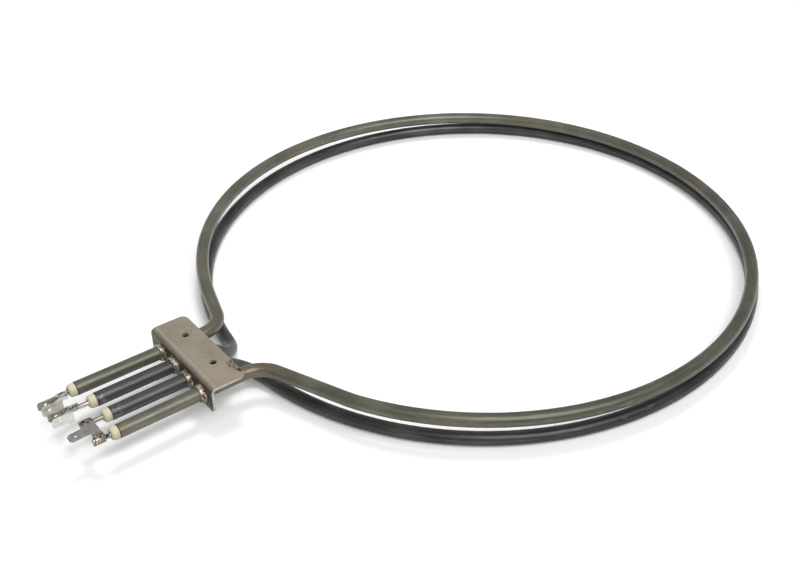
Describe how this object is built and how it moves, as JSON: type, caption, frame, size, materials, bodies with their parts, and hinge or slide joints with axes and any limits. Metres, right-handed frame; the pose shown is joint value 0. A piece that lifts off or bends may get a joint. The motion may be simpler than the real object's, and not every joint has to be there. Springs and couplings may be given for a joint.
{
  "type": "tubular heating element",
  "caption": "Double-circuit tubular heating element: two ring-shaped metal-sheathed heaters, one above the other, brazed into one folded mounting bracket with blade terminals.",
  "frame": {"origin": "middle of the two mounting holes, on the top face of the bracket's plate", "axes": "+Y from the plate to the far side of the rings, along the legs; +X from leg 1 to leg 4, along the plate's bend; +Z out of the plate's top face"},
  "size_m": [0.358, 0.4689, 0.0258],
  "materials": {
    "bracket_steel": "satin, warm grey, with rust specks at one corner",
    "upper_sheath_steel": "satin, heat-tinted to a grey olive",
    "lower_sheath_steel": "satin, heat-darkened to graphite",
    "ferrule_braze": "hammered, pinkish silver",
    "bead_ceramic": "matte, cream",
    "seal_resin": "matte",
    "pin_steel": "satin",
    "tab_steel": "satin, heat-tinted round the welds",
    "coil_wire": "drawn",
    "magnesia": "packed powder"
  },
  "bodies": {
    "root": {"mounting_bracket": "bracket_steel", "upper_sheath": "upper_sheath_steel", "lower_sheath": "lower_sheath_steel", "upper_coil": "coil_wire", "lower_coil": "coil_wire", "upper_insulation": "magnesia", "lower_insulation": "magnesia", "ferrule_1": "ferrule_braze", "end_seal_1": "seal_resin", "ceramic_bead_1": "bead_ceramic", "terminal_pin_1": "pin_steel", "ferrule_2": "ferrule_braze", "end_seal_2": "seal_resin", "ceramic_bead_2": "bead_ceramic", "terminal_pin_2": "pin_steel", "ferrule_3": "ferrule_braze", "end_seal_3": "seal_resin", "ceramic_bead_3": "bead_ceramic", "terminal_pin_3": "pin_steel", "ferrule_4": "ferrule_braze", "end_seal_4": "seal_resin", "ceramic_bead_4": "bead_ceramic", "terminal_pin_4": "pin_steel", "double_tab_1": "tab_steel", "double_tab_2": "tab_steel", "bridge_tab": "tab_steel"}
  },
  "joints": []
}
